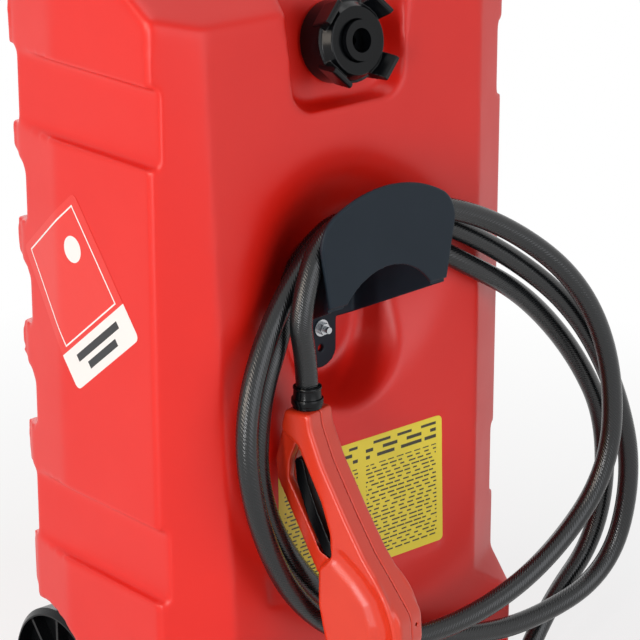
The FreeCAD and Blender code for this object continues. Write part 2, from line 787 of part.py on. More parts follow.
def tangent_path(points, radii):
    """Straight runs joined by tangent arcs, one radius for each inner point."""
    edges = []
    start = points[0]
    for before, corner, after, radius in zip(points, points[1:], points[2:], radii):
        into = (corner - before).normalize()
        out = (after - corner).normalize()
        half_turn = into.getAngle(out) / 2
        setback = radius * tan(half_turn)
        middle = corner + (out - into).normalize() * radius * (1 / cos(half_turn) - 1)
        edges.append(Part.LineSegment(start, corner - into * setback).toShape())
        edges.append(Part.Arc(corner - into * setback, middle, corner + out * setback).toShape())
        start = corner + out * setback
    edges.append(Part.LineSegment(start, points[-1]).toShape())
    return Part.Wire(edges)


def sweep(path, radius):
    """A round bar along a path."""
    first = path.OrderedEdges[0]
    start = first.valueAt(first.FirstParameter)
    direction = first.tangentAt(first.FirstParameter)
    ring = Part.Wire([Part.makeCircle(radius, start, direction)])
    return path.makePipeShell([ring], True, False)


pickup = feature_of("pickup_tube", pickup_tube())


# Hose hook, bolted in the dish

def arch_outline(radius, height, drop):
    """A round arch with straight legs, closed at the foot; X across and Y up."""
    left, right = Vector(-radius, height, 0), Vector(radius, height, 0)
    low_left, low_right = Vector(-radius, height - drop, 0), Vector(radius, height - drop, 0)
    return Part.Wire([
        Part.LineSegment(low_left, low_right).toShape(),
        Part.LineSegment(low_right, right).toShape(),
        Part.Arc(right, Vector(0, height + radius, 0), left).toShape(),
        Part.LineSegment(left, low_left).toShape()])


def upright(wire, reach):
    """Stands an outline drawn in XY up in the plane y = -reach."""
    wire.Placement = Placement(Vector(0, -reach, 0), ALONG_Y)
    return wire


def flange_outline():
    half, top, foot = size("hook_flange_half"), size("hook_flange_top"), size("hook_flange_foot")
    waist = foot + (top - foot) * 0.55
    shoulder = Vector(half * 0.81, top - 17, 0)
    bend = Vector(half * 0.945, between(waist, shoulder.y, 0.6), 0)
    toe = Vector(half - 9.5, foot, 0)

    def mirrored(point):
        return Vector(-point.x, point.y, 0)

    side = Vector(half, waist, 0)
    return Part.Wire([
        Part.LineSegment(mirrored(toe), toe).toShape(),
        Part.LineSegment(toe, side).toShape(),
        Part.Arc(side, bend, shoulder).toShape(),
        Part.Arc(shoulder, Vector(0, top, 0), mirrored(shoulder)).toShape(),
        Part.Arc(mirrored(shoulder), mirrored(bend), mirrored(side)).toShape(),
        Part.LineSegment(mirrored(side), mirrored(toe)).toShape()])


def hook_shape():
    plate_back = size("dish_floor_reach") + size("seat_gap")
    plate_front = plate_back + size("hook_plate")
    flange_front = size("hook_reach")
    flange_back = flange_front - size("hook_flange_thickness")
    front, root = size("hook_front_radius"), size("hook_root_radius")
    tall, low, drop = size("hook_front_height"), size("hook_root_height"), size("hook_leg_drop")
    skin = size("hook_wall")
    outer = Part.makeLoft([upright(arch_outline(root, low, drop), plate_back),
                           upright(arch_outline(front, tall, 1), flange_back + 1)], True, True)
    inner = Part.makeLoft([upright(arch_outline(root - skin, low, drop + 8), plate_front),
                           upright(arch_outline(front - skin, tall, 9), flange_back)], True, True)
    ear_round = size("ear_half")
    ear = rounded_wire(outline([(-ear_round, size("ear_foot")), (ear_round, size("ear_foot")),
                                (ear_round, low), (-ear_round, low)]),
                       [ear_round - 0.5, ear_round - 0.5, 1, 1])
    ear = Part.Face(upright(ear, plate_back)).extrude(Y_AXIS * -size("hook_plate"))
    flange = Part.Face(upright(flange_outline(), flange_back)).extrude(
        Y_AXIS * -size("hook_flange_thickness"))
    edges = [edge for edge in flange.Edges if abs(edge.CenterOfMass.y + flange_front) < 0.01]
    flange = flange.makeFillet(1.5, edges)
    radius = size("hook_window_radius")
    window_centre = Vector(0, -flange_back + 1, size("hook_window_top") - radius)
    window = Part.makeCylinder(radius, 3 * size("hook_flange_thickness"), window_centre, Y_AXIS * -1)
    holes = []
    for height in (size("stud_low"), size("stud_high"), size("spare_hole")):
        start = Vector(0, -plate_back + 1, height)
        holes.append(Part.makeCylinder(size("stud_radius") + size("hole_slack"),
                                       size("hook_plate") + 2, start, Y_AXIS * -1))
    return outer.cut(inner).fuse([ear, flange]).cut([window] + holes).removeSplitter()


hook = feature_of("hose_hook", hook_shape())


def on_stud(kind, name, height, reach, **more):
    """A primitive whose axis runs forwards from the dish's floor."""
    forwards = Placement(Vector(0, 0, 0), Rotation(X_AXIS, 90))
    return primitive(kind, name, forwards, y=f"-({reach})", z=f"sizes.{height}", **more)


def hook_fixings():
    plate_front = "sizes.dish_floor_reach + sizes.hook_plate + 2 * sizes.seat_gap"
    nut_start = f"{plate_front} + sizes.hook_washer + sizes.seat_gap"
    studs, washers, nuts = [], [], []
    for height in ("stud_low", "stud_high"):
        studs.append(on_stud("Cylinder", f"{height}_rod", height,
                             "sizes.dish_floor_reach - sizes.stud_root",
                             Radius="sizes.stud_radius", Height="sizes.stud_length"))
        bore = on_stud("Cylinder", f"{height}_bore", height, plate_front,
                       Radius="sizes.stud_radius + sizes.seat_gap", Height="sizes.stud_length")
        disc = on_stud("Cylinder", f"{height}_disc", height, plate_front,
                       Radius="sizes.hook_washer_radius", Height="sizes.hook_washer")
        washers.append(cut(f"{height}_washer", disc, bore))
        hexagon = on_stud("Prism", f"{height}_hexagon", height, nut_start,
                          Circumradius="sizes.nut_flat / 2 / cos(30deg)", Height="sizes.nut_height")
        nuts.append(cut(f"{height}_nut", hexagon, bore))
    return group("hook_studs", studs), group("hook_washers", washers), group("hook_nuts", nuts)


hook_studs, hook_washers, hook_nuts = hook_fixings()


# Hand pump. Its own frame: X forwards along the halves' joint face, Y across it, Z up

pump_frame = Placement(Vector(size("pump_x"), size("pump_y"), 0),
                       Rotation(Z_AXIS, size("pump_turn") - 90))

# (forwards, up) corners and their radii, from the collar round the spine, head and guard
PUMP_BODY = [
    (-53, 392, 3), (-57, 372, 8), (-39, 361, 10), (-14, 312, 40), (-5, 284, 30), (-4, 262, 8),
    (-17, 250, 8), (-17, 214, 20), (-9, 178, 14), (10, 166, 8), (50, 166, 16), (72, 186, 20),
    (70, 218, 20), (50, 246, 20), (32, 270, 30), (13, 302, 60), (-12, 348, 60), (-24, 378, 30),
    (-26, 392, 3)]
PUMP_GUARD = [
    (-44, 386, 3), (-57, 386, 6), (-68, 340, 16), (-66, 322, 12), (-22, 238, 12), (-8, 236, 4),
    (-6, 256, 4), (-20, 262, 8), (-54, 324, 8), (-53, 342, 10), (-42, 370, 6)]


def pump_prism(corners, inset, near, far, ease=1.0):
    """An outline of the pump, from one distance off the joint face to another."""
    points = [Vector(forwards, up, 0) for forwards, up, radius in corners]
    radii = [max(radius * ease - inset, 0.4) for forwards, up, radius in corners]
    return prism(points, radii, inset, Placement(Vector(0, near, 0), ALONG_Y), near - far)


def pump_half(side):
    """One of the two shells, right for +1 and left for -1."""
    reach, skin = size("pump_half"), size("pump_wall")
    near, far = side * size("pump_seam") / 2, side * reach
    low, high = min(near, far), max(near, far)
    body = pump_prism(PUMP_BODY, 0, high, low)
    edges = [edge for edge in body.Edges if abs(edge.CenterOfMass.y - far) < 0.01]
    body = body.makeFillet(size("pump_edge"), edges)
    inner = side * (reach - skin)
    room = pump_prism(PUMP_BODY, skin, max(inner, 0), min(inner, 0))
    guard_far = side * size("guard_half")
    guard = pump_prism(PUMP_GUARD, 0, max(near, guard_far), min(near, guard_far))
    guard = guard.cut(pump_prism(PUMP_BODY, skin / 2, FAR, -FAR))
    shell = body.cut(room).fuse(guard)
    gap = size("trigger_half") + size("trigger_gap")
    slot = Part.makeBox(34, 2 * gap, 44, Vector(-26, -gap, 232))
    spout = Part.makeCylinder(size("spout_root") + size("seat_gap"), 60,
                              Vector(size("spout_s"), 0, 140))
    throat = Part.makeCylinder(size("duct_radius") + size("seat_gap"), 12,
                               Vector(size("collar_s"), 0, size("collar_foot") - 6))
    pin = Part.makeCylinder(size("pin_radius") + size("pin_slack"), 2 * (reach - skin / 2),
                            Vector(size("trigger_s"), -reach + skin / 2, size("trigger_height")), Y_AXIS)
    shelf_start = Vector(-14, min(near, inner), size("spring_shelf"))
    shelf = Part.makeBox(28, abs(inner - near), size("shelf_thickness"), shelf_start)
    shell = shell.cut([slot, spout, throat]).fuse(shelf)
    bosses = []
    for forwards, up in SCREWS:
        boss = Part.makeCylinder(size("screw_head") + 1.2, reach - skin / 2 - size("pump_seam") / 2,
                                 Vector(forwards, near, up), Y_AXIS * side)
        bosses.append(boss)
    pivot = Part.makeCylinder(size("pin_radius") + 2.4, reach - skin - gap,
                              Vector(size("trigger_s"), side * gap, size("trigger_height")), Y_AXIS * side)
    shell = shell.fuse(bosses + [pivot]).cut([pin] + screw_rooms())
    return shell.removeSplitter()


SCREWS = [(58, 204), (-8, 196)]


def screw_rooms():
    """Shank holes through both halves and head seats in the right one."""
    reach = size("pump_half")
    tools = []
    for forwards, up in SCREWS:
        tools.append(Part.makeCylinder(size("screw_radius") + size("seat_gap"), 2 * reach - 3,
                                       Vector(forwards, 3 - reach, up), Y_AXIS))
        tools.append(Part.makeCylinder(size("screw_head") + size("seat_gap"), 10,
                                       Vector(forwards, screw_seat(), up), Y_AXIS))
    return tools


def screw_seat():
    return size("pump_half") - size("screw_head_rise") - 2.5


pump_left = feature_of("pump_shell_left", pump_half(-1), pump_frame)
pump_right = feature_of("pump_shell_right", pump_half(1), pump_frame)


def pump_screws():
    solids = []
    for forwards, up in SCREWS:
        shank = Part.makeCylinder(size("screw_radius"), screw_seat() + size("pump_half") - 4,
                                  Vector(forwards, 4 - size("pump_half"), up), Y_AXIS)
        start = screw_seat() + size("seat_gap")
        head = Part.makeCylinder(size("screw_head"), size("screw_head_rise"),
                                 Vector(forwards, start, up), Y_AXIS)
        neck = Part.makeCylinder(size("screw_radius"), 1, Vector(forwards, start - 0.5, up), Y_AXIS)
        cross = [Part.makeBox(4.4, 1.2, 0.9, Vector(-2.2, -0.6, 0)),
                 Part.makeBox(1.2, 4.4, 0.9, Vector(-0.6, -2.2, 0))]
        for bar in cross:
            bar.Placement = Placement(Vector(forwards, start + size("screw_head_rise") - 0.9, up),
                                      Rotation(X_AXIS, -90))
        solids.append(shank.fuse([neck, head]).cut([box.copy() for box in cross]))
    return Part.makeCompound(solids)


screws = feature_of("pump_screws", pump_screws(), pump_frame)


def in_pump(kind, name, forwards, across, up, turn=None, **more):
    """A primitive placed in the pump's own frame."""
    local = Placement(Vector(forwards, across, up), turn or Rotation())
    feature = primitive(kind, name, None, **more)
    feature.Placement = pump_frame.multiply(local)
    return feature


def bored(name, outside, bore, forwards, up, length):
    """An upright tube in the pump's frame."""
    rod = in_pump("Cylinder", name + "_rod", forwards, 0, up, Radius=outside, Height=length)
    way = in_pump("Cylinder", name + "_way", forwards, 0, up - 1, Radius=bore, Height=f"{length} + 2")
    return cut(name, rod, way)


collar = bored("hose_collar", "sizes.collar_radius", "sizes.duct_bore", size("collar_s"),
               size("collar_foot"), "sizes.collar_length")
spout_root = in_pump("Cylinder", "spout_root", size("spout_s"), 0, size("spout_foot"),
                     Radius="sizes.spout_root", Height="sizes.valve_foot - sizes.seat_gap - sizes.spout_foot")
spout_tip = in_pump("Cylinder", "spout_tip", size("spout_s"), 0, size("spout_foot"),
                    Radius="sizes.spout_radius", Height="sizes.spout_step - sizes.spout_foot")
spout_way = in_pump("Cylinder", "spout_way", size("spout_s"), 0, size("spout_foot") - 1,
                    Radius="sizes.spout_bore", Height="sizes.valve_foot")
spout = cut("pump_spout", fuse("spout_blank", [spout_root, spout_tip]), spout_way)
valve = bored("valve_body", "sizes.valve_radius", "sizes.duct_bore", size("spout_s"), size("valve_foot"),
              "sizes.valve_rise")


def duct_shape():
    """The tube inside the grip, from the collar to the valve."""
    top = Vector(size("collar_s"), 0, size("collar_foot"))
    valve_top = size("valve_foot") + size("valve_rise")
    bottom = Vector(size("spout_s"), 0, valve_top + size("seat_gap"))
    points = [top, Vector(-40, 0, 379), Vector(-27, 0, 358), Vector(-3, 0, valve_top + 69),
              Vector(14, 0, valve_top + 31), Vector(size("spout_s"), 0, valve_top + 15), bottom]
    path = tangent_path(points, bend_radii(points))
    return sweep(path, size("duct_radius")).cut(sweep(path, size("duct_bore")))


duct = feature_of("pump_duct", duct_shape(), pump_frame)

TRIGGER = [
    (-9, 234, 3), (8, 233, 3), (9, 241, 3), (3, 252, 4), (-7, 264, 12), (-23, 296, 40), (-34, 322, 20),
    (-40, 345, 4), (-49, 345, 4), (-46, 322, 20), (-34, 290, 40), (-15, 256, 12)]

trigger_solid = pump_prism(TRIGGER, 0, size("trigger_half"), -size("trigger_half"))
trigger_hole = Part.makeCylinder(size("pin_radius") + size("pin_slack"), FAR,
                                 Vector(size("trigger_s"), -FAR / 2, size("trigger_height")), Y_AXIS)
trigger = feature_of("pump_trigger", trigger_solid.cut(trigger_hole), pump_frame)

pin_length = 2 * (size("pump_half") - size("pump_wall") / 2 - size("seat_gap"))
pin = in_pump("Cylinder", "trigger_pin", size("trigger_s"), -pin_length / 2, size("trigger_height"),
              Rotation(X_AXIS, -90), Radius="sizes.pin_radius")
pin.Height = pin_length


def spring_shape():
    """A small coil spring between the shells' shelf and the trigger's tail."""
    wire = size("spring_wire")
    foot = size("spring_shelf") + size("shelf_thickness") + wire + size("seat_gap")
    length = size("trigger_foot") - foot - wire - size("spring_gap")
    coil = Part.makeHelix(length / size("spring_turns"), length, size("spring_radius"))
    ring = Part.Wire([Part.makeCircle(wire, Vector(size("spring_radius"), 0, 0), Y_AXIS)])
    solid = Part.Wire(coil).makePipeShell([ring], True, True)
    solid.Placement = Placement(Vector(size("spring_s"), 0, foot), Rotation())
    return solid


spring = feature_of("trigger_spring", spring_shape(), pump_frame)


# Hose: up from the collar, over the hook, twice round and down to its connector

HOSE_ROUTE = [
    (-86, -173, 412), (-89, -175, 438), (-102, -180, 482), (-58, -163, 553), (52, -167, 553),
    (146, -179, 517),
    (226, -203, 450), (268, -211, 357), (269, -211, 250), (196, -202, 172), (99, -196, 137),
    (-8, -190, 140), (-94, -178, 194), (-147, -180, 286), (-163, -175, 391), (-111, -155, 479),
    (-26, -144, 550), (71, -150, 534), (168, -161, 480), (243, -179, 415), (298, -186, 326),
    (326, -190, 225), (303, -183, 121), (193, -175, 94), (93, -170, 110), (-3, -161, 149),
    (-81, -160, 218), (-132, -158, 311), (-128, -157, 401), (-98, -152, 460), (-58, -125, 510),
    (14, -119, 543), (118, -157, 479), (202, -152, 430), (275, -153, 354), (324, -155, 267),
    (323, -150, 149), (243, -154, 89), (177, -171, 14), (126, -185, 14)]

hose_points = [Vector(*point) for point in HOSE_ROUTE]
hose_radii = bend_radii(hose_points)
hose_path = tangent_path(hose_points, hose_radii)
hose = feature_of("hose", sweep(hose_path, size("hose_radius")))
print("hose bends", [round(radius) for radius in hose_radii])
print("hose length", round(hose_path.Length), "volume against section times length",
      round(hose.Shape.Volume / (pi * size("hose_radius") ** 2 * hose_path.Length), 4))

hose_end = hose_points[-1]
hose_way = (hose_end - hose_points[-2]).normalize()


def on_hose_end(kind, name, along, **more):
    """A primitive whose axis carries on from the hose's end."""
    frame = Placement(hose_end + hose_way * along, Rotation(Z_AXIS, hose_way))
    return primitive(kind, name, frame, **more)


connector = cut("hose_connector",
                fuse("connector_blank", [
                    on_hose_end("Cylinder", "connector_grip", 0, Radius="sizes.connector_radius",
                                Height="sizes.connector_length"),
                    on_hose_end("Cylinder", "connector_nose", 0, Radius="sizes.connector_nose",
                                Height="sizes.connector_length + sizes.connector_nose_length")]),
                on_hose_end("Cylinder", "connector_way", 0, Radius="sizes.connector_bore",
                            Height="sizes.connector_length + sizes.connector_nose_length"))


kept = [tank, axle, wheel_left, wheel_right, axle_spacers, axle_washers, hub_caps, gasket, port, ring,
        pickup, hook, hook_studs, hook_washers, hook_nuts, pump_left, pump_right, screws, collar, spout,
        valve, duct, trigger, pin, spring, hose, connector]

doc.recompute()
for feature in doc.Objects:
    if "Invalid" in feature.State or "Error" in feature.State:
        raise ValueError(f"{feature.Name} failed: {feature.State}")
for feature in kept:
    shape = feature.Shape
    if shape.isNull() or not shape.isValid() or not shape.Solids:
        raise ValueError(f"{feature.Label} has no valid solid")

os.makedirs("parts", exist_ok=True)
for feature in kept:
    feature.Shape.exportStep(f"parts/{feature.Label}.step")
    print(feature.Label, len(feature.Shape.Solids), round(feature.Shape.Volume / 1000, 1), "cm3")
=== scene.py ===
import math

import bpy
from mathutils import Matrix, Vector


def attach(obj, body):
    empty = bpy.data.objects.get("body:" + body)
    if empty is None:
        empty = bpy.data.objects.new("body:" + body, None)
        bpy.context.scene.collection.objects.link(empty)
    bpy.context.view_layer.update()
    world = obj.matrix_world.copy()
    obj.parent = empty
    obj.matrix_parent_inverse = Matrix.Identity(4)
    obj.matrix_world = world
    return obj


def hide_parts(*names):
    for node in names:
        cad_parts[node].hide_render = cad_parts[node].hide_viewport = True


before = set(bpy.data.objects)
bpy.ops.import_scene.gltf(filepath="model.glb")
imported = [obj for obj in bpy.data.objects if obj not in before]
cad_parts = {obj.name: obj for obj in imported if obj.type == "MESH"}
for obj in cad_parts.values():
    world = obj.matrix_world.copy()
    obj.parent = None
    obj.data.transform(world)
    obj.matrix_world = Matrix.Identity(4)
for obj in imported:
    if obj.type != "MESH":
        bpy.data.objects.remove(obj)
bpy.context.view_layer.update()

print("frame loaded:", len(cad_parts), "nodes")


# The camera stands where the photograph was taken from

cameraLook = {
    "place": (-1.5276, -1.8486, 1.2297),
    "tilt": 71.09, "turn": -41.0,        # degrees, the tilt from straight down
    "lens": 151.03, "sensor": 36,        # mm
    "sight": 50,                         # m to the furthest thing it shows
}

bpy.ops.object.camera_add(
    location=cameraLook["place"],
    rotation=(math.radians(cameraLook["tilt"]), 0, math.radians(cameraLook["turn"])))
camera = bpy.context.object
camera.data.lens = cameraLook["lens"]
camera.data.sensor_width = cameraLook["sensor"]
camera.data.clip_end = cameraLook["sight"]
bpy.context.scene.camera = camera
bpy.context.scene.view_settings.view_transform = "Standard"
print("camera placed")


# Small helpers for picking, shaping and finishing pieces

mergeGap = 0.000002                  # m: corners nearer than this are one
crispAngle = math.radians(35)        # edges sharper than this stay crisp


def deselectAll():
    bpy.ops.object.select_all(action="DESELECT")


def pick(piece):
    deselectAll()
    piece.select_set(True)
    bpy.context.view_layer.objects.active = piece


def editAll(piece):
    # edit mode with the whole mesh selected
    pick(piece)
    bpy.ops.object.mode_set(mode="EDIT")
    bpy.ops.mesh.select_all(action="SELECT")


def editWhere(piece, wanted):
    # edit mode with only the points at the wanted places selected
    pick(piece)
    bpy.ops.object.mode_set(mode="EDIT")
    bpy.ops.mesh.select_mode(type="VERT")
    bpy.ops.mesh.select_all(action="DESELECT")
    bpy.ops.object.mode_set(mode="OBJECT")
    for vertex in piece.data.vertices:
        vertex.select = wanted(*vertex.co)
    print(piece.name, "points picked:", sum(vertex.select for vertex in piece.data.vertices))
    bpy.ops.object.mode_set(mode="EDIT")


def applyModifier(piece, kind, **settings):
    modifier = piece.modifiers.new(kind.lower(), kind)
    for name, value in settings.items():
        setattr(modifier, name, value)
    pick(piece)
    bpy.ops.object.modifier_apply(modifier=modifier.name)


def copyNode(node, name):
    # a CAD node's mesh is loose triangles, so its copy is merged
    piece = bpy.data.objects.new(name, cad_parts[node].data.copy())
    bpy.context.scene.collection.objects.link(piece)
    editAll(piece)
    bpy.ops.mesh.remove_doubles(threshold=mergeGap)
    bpy.ops.object.mode_set(mode="OBJECT")
    return piece


def joinTo(piece, extra):
    pick(extra)
    piece.select_set(True)
    bpy.context.view_layer.objects.active = piece
    bpy.ops.object.join()


def remesh(piece, look):
    # one fine, even mesh over everything that was joined to the piece
    applyModifier(piece, "REMESH", mode="VOXEL", voxel_size=look["voxel"])


def soften(piece, look):
    # the even mesh is eased, which rounds its edges, then thinned where it is flat
    applyModifier(piece, "SMOOTH", factor=0.5, iterations=look["easing"])
    count = sum(len(face.vertices) - 2 for face in piece.data.polygons)
    if count > look["faces"]:
        applyModifier(piece, "DECIMATE", ratio=look["faces"] / count)
    pick(piece)
    bpy.ops.object.shade_smooth()
    print(piece.name, count, "to", len(piece.data.polygons), "faces")


def keepPlace(piece):
    # the object goes back to the origin and its place goes into its mesh
    pick(piece)
    bpy.ops.object.transform_apply(location=True, rotation=True, scale=True)


def tubeAlong(name, places, radius, order=4, roundness=4):
    # a round tube along a smooth curve, which the places steer
    curve = bpy.data.curves.new(name, "CURVE")
    curve.dimensions = "3D"
    spline = curve.splines.new("NURBS")
    spline.points.add(len(places) - 1)
    for point, place in zip(spline.points, places):
        point.co = (*place, 1)
    spline.order_u = order
    spline.use_endpoint_u = True
    spline.resolution_u = 12
    curve.bevel_depth = radius
    curve.bevel_resolution = roundness
    curve.use_fill_caps = True
    tube = bpy.data.objects.new(name, curve)
    bpy.context.scene.collection.objects.link(tube)
    return tube


def coat(piece, material):
    piece.data.materials.clear()
    piece.data.materials.append(material)


def finishPiece(piece, body, slot, material, *replaced):
    coat(piece, material)
    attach(piece, body)
    if replaced:
        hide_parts(*replaced)


def linearColour(code):
    # an sRGB hex value turned to the linear numbers that the shaders take
    parts = [int(code[start:start + 2], 16) / 255 for start in (1, 3, 5)]
    return [part / 12.92 if part <= 0.04045 else ((part + 0.055) / 1.055) ** 2.4
            for part in parts] + [1]


def addNode(material, kind, inputs=None, **settings):
    # an input is a number, a hex colour, another node's output, or a node for its first output
    node = material.node_tree.nodes.new(kind)
    for name, value in settings.items():
        setattr(node, name, value)
    for name, value in (inputs or {}).items():
        if isinstance(value, bpy.types.Node):
            value = next(output for output in value.outputs if output.enabled)
        if isinstance(value, bpy.types.NodeSocket):
            material.node_tree.links.new(value, node.inputs[name])
        else:
            node.inputs[name].default_value = (
                linearColour(value) if isinstance(value, str) else value)
    return node


def newMaterial(name):
    material = bpy.data.materials.new(name)
    material.use_nodes = True
    material.node_tree.nodes.clear()
    return material


# Materials, each named for the real stuff and how its surface was made.
# Sizes of patterns and heights of bumps are in mm.

def mouldedPlastic(name, look):
    # two close colours drift over the moulding, and two bumps give its waves and its fine grain
    material = newMaterial(name)
    place = addNode(material, "ShaderNodeTexCoord").outputs["Object"]
    drift = addNode(material, "ShaderNodeTexNoise",
                    {"Vector": place, "Scale": 1000 / look["driftSize"], "Detail": 3})
    grain = addNode(material, "ShaderNodeTexNoise",
                    {"Vector": place, "Scale": 1000 / look["grainSize"], "Detail": 2})
    colour = addNode(material, "ShaderNodeMix",
                     {"Factor": drift, "A": look["colour"], "B": look["colourTwo"]},
                     data_type="RGBA")
    polish = addNode(material, "ShaderNodeMapRange",
                     {"Value": drift, "To Min": look["roughness"] - look["roughnessDrift"],
                      "To Max": look["roughness"] + look["roughnessDrift"]})
    waves = addNode(material, "ShaderNodeBump",
                    {"Height": drift, "Distance": look["waveHeight"] / 1000})
    skin = addNode(material, "ShaderNodeBump",
                   {"Height": grain, "Normal": waves, "Distance": look["grainHeight"] / 1000})
    shader = addNode(material, "ShaderNodeBsdfPrincipled",
                     {"Base Color": colour, "Roughness": polish, "Normal": skin,
                      "IOR": look["ior"], "Specular IOR Level": look["sheen"]})
    addNode(material, "ShaderNodeOutputMaterial", {"Surface": shader})
    return material


# HDPE, blow moulded: waxy red with a satin skin that is a little wavy where the wall cooled
tankPlastic = mouldedPlastic("blowMouldedPolyethylene", {
    "colour": "#DE1A08", "colourTwo": "#D71508", "ior": 1.54, "sheen": 0.46,
    "driftSize": 55, "waveHeight": 0.25, "grainSize": 1.6, "grainHeight": 0.02,
    "roughness": 0.40, "roughnessDrift": 0.05})

# polypropylene, injection moulded in a polished tool: brighter orange red and glossier
pumpPlastic = mouldedPlastic("injectionMouldedPolypropylene", {
    "colour": "#D8381B", "colourTwo": "#D03016", "ior": 1.49, "sheen": 0.6,
    "driftSize": 30, "waveHeight": 0.08, "grainSize": 0.9, "grainHeight": 0.012,
    "roughness": 0.30, "roughnessDrift": 0.04})

# glass filled nylon from a spark eroded tool: matt blue black, evenly pebbled
hookPlastic = mouldedPlastic("erodedToolNylon", {
    "colour": "#17222C", "colourTwo": "#131D26", "ior": 1.53, "sheen": 0.18,
    "driftSize": 40, "waveHeight": 0.05, "grainSize": 1.1, "grainHeight": 0.03,
    "roughness": 0.50, "roughnessDrift": 0.05})

# the same nylon from a smoother tool: darker, with a satin shine on its edges
capPlastic = mouldedPlastic("satinMouldedNylon", {
    "colour": "#07090C", "colourTwo": "#050608", "ior": 1.53, "sheen": 0.18,
    "driftSize": 25, "waveHeight": 0.05, "grainSize": 0.9, "grainHeight": 0.015,
    "roughness": 0.22, "roughnessDrift": 0.04})

# hard polypropylene wheels: glossy black, faintly scuffed
wheelPlastic = mouldedPlastic("glossMouldedPolypropylene", {
    "colour": "#0C0E10", "colourTwo": "#08090B", "ior": 1.49, "sheen": 0.25,
    "driftSize": 35, "waveHeight": 0.06, "grainSize": 1.2, "grainHeight": 0.02,
    "roughness": 0.26, "roughnessDrift": 0.07})

# nitrile rubber, cut from sheet: dull and soft
gasketRubber = mouldedPlastic("cutNitrileRubber", {
    "colour": "#16171A", "colourTwo": "#121316", "ior": 1.52, "sheen": 0.4,
    "driftSize": 12, "waveHeight": 0.02, "grainSize": 0.8, "grainHeight": 0.02,
    "roughness": 0.72, "roughnessDrift": 0.05})

# natural polyethylene, extruded or moulded unpainted: milky, inside the tank and the pump
tubePlastic = mouldedPlastic("extrudedPolyethylene", {
    "colour": "#B9BCB4", "colourTwo": "#AEB1A9", "ior": 1.51, "sheen": 0.5,
    "driftSize": 20, "waveHeight": 0.02, "grainSize": 1.0, "grainHeight": 0.01,
    "roughness": 0.35, "roughnessDrift": 0.05})

steelLook = {
    "colour": "#C6C9CC", "colourTwo": "#AEB2B6", "shiny": 0.18, "dull": 0.38,
    "patchSize": 4, "markSize": 0.5, "markHeight": 0.01,
}


def zincPlatedSteel(look):
    # zinc plate: a light grey metal with fine turning marks and a patchy shine
    material = newMaterial("zincPlatedSteel")
    place = addNode(material, "ShaderNodeTexCoord").outputs["Object"]
    patches = addNode(material, "ShaderNodeTexNoise",
                      {"Vector": place, "Scale": 1000 / look["patchSize"], "Detail": 4})
    marks = addNode(material, "ShaderNodeTexNoise",
                    {"Vector": place, "Scale": 1000 / look["markSize"], "Detail": 1})
    colour = addNode(material, "ShaderNodeMix",
                     {"Factor": patches, "A": look["colour"], "B": look["colourTwo"]},
                     data_type="RGBA")
    shine = addNode(material, "ShaderNodeMapRange",
                    {"Value": patches, "To Min": look["shiny"], "To Max": look["dull"]})
    bump = addNode(material, "ShaderNodeBump",
                   {"Height": marks, "Distance": look["markHeight"] / 1000})
    shader = addNode(material, "ShaderNodeBsdfPrincipled",
                     {"Base Color": colour, "Roughness": shine, "Normal": bump, "Metallic": 1.0})
    addNode(material, "ShaderNodeOutputMaterial", {"Surface": shader})
    return material


steelFinish = zincPlatedSteel(steelLook)
print("materials made")


# The hose: one smooth tube along the part's own route

hoseLook = {
    "diameter": 0.020, "length": 3.70, "roundness": 7,
    "colour": "#080A0C", "colourTwo": "#14181B", "dull": 0.30, "shiny": 0.15,
    "weavePitch": 2.6,      # mm between the wrap's ribs, drawn coarser than the cloth to show
    "weaveHeight": 0.18,
}

hoseRoute = [
    (-0.086, -0.173, 0.412), (-0.089, -0.175, 0.438), (-0.102, -0.180, 0.482),
    (-0.058, -0.163, 0.553), (0.052, -0.167, 0.553), (0.146, -0.179, 0.517),
    (0.226, -0.203, 0.450), (0.268, -0.211, 0.357), (0.269, -0.211, 0.250),
    (0.196, -0.202, 0.172), (0.099, -0.196, 0.137), (-0.008, -0.190, 0.140),
    (-0.094, -0.178, 0.194), (-0.147, -0.180, 0.286), (-0.163, -0.175, 0.391),
    (-0.111, -0.155, 0.479), (-0.026, -0.144, 0.550), (0.071, -0.150, 0.534),
    (0.168, -0.161, 0.480), (0.243, -0.179, 0.415), (0.298, -0.186, 0.326),
    (0.326, -0.190, 0.225), (0.303, -0.183, 0.121), (0.193, -0.175, 0.094),
    (0.093, -0.170, 0.110), (-0.003, -0.161, 0.149), (-0.081, -0.160, 0.218),
    (-0.132, -0.158, 0.311), (-0.128, -0.157, 0.401), (-0.098, -0.152, 0.460),
    (-0.058, -0.125, 0.510), (0.014, -0.119, 0.543), (0.118, -0.157, 0.479),
    (0.202, -0.152, 0.430), (0.275, -0.153, 0.354), (0.324, -0.155, 0.267),
    (0.323, -0.150, 0.149), (0.243, -0.154, 0.089), (0.177, -0.171, 0.014),
    (0.126, -0.185, 0.014),
]


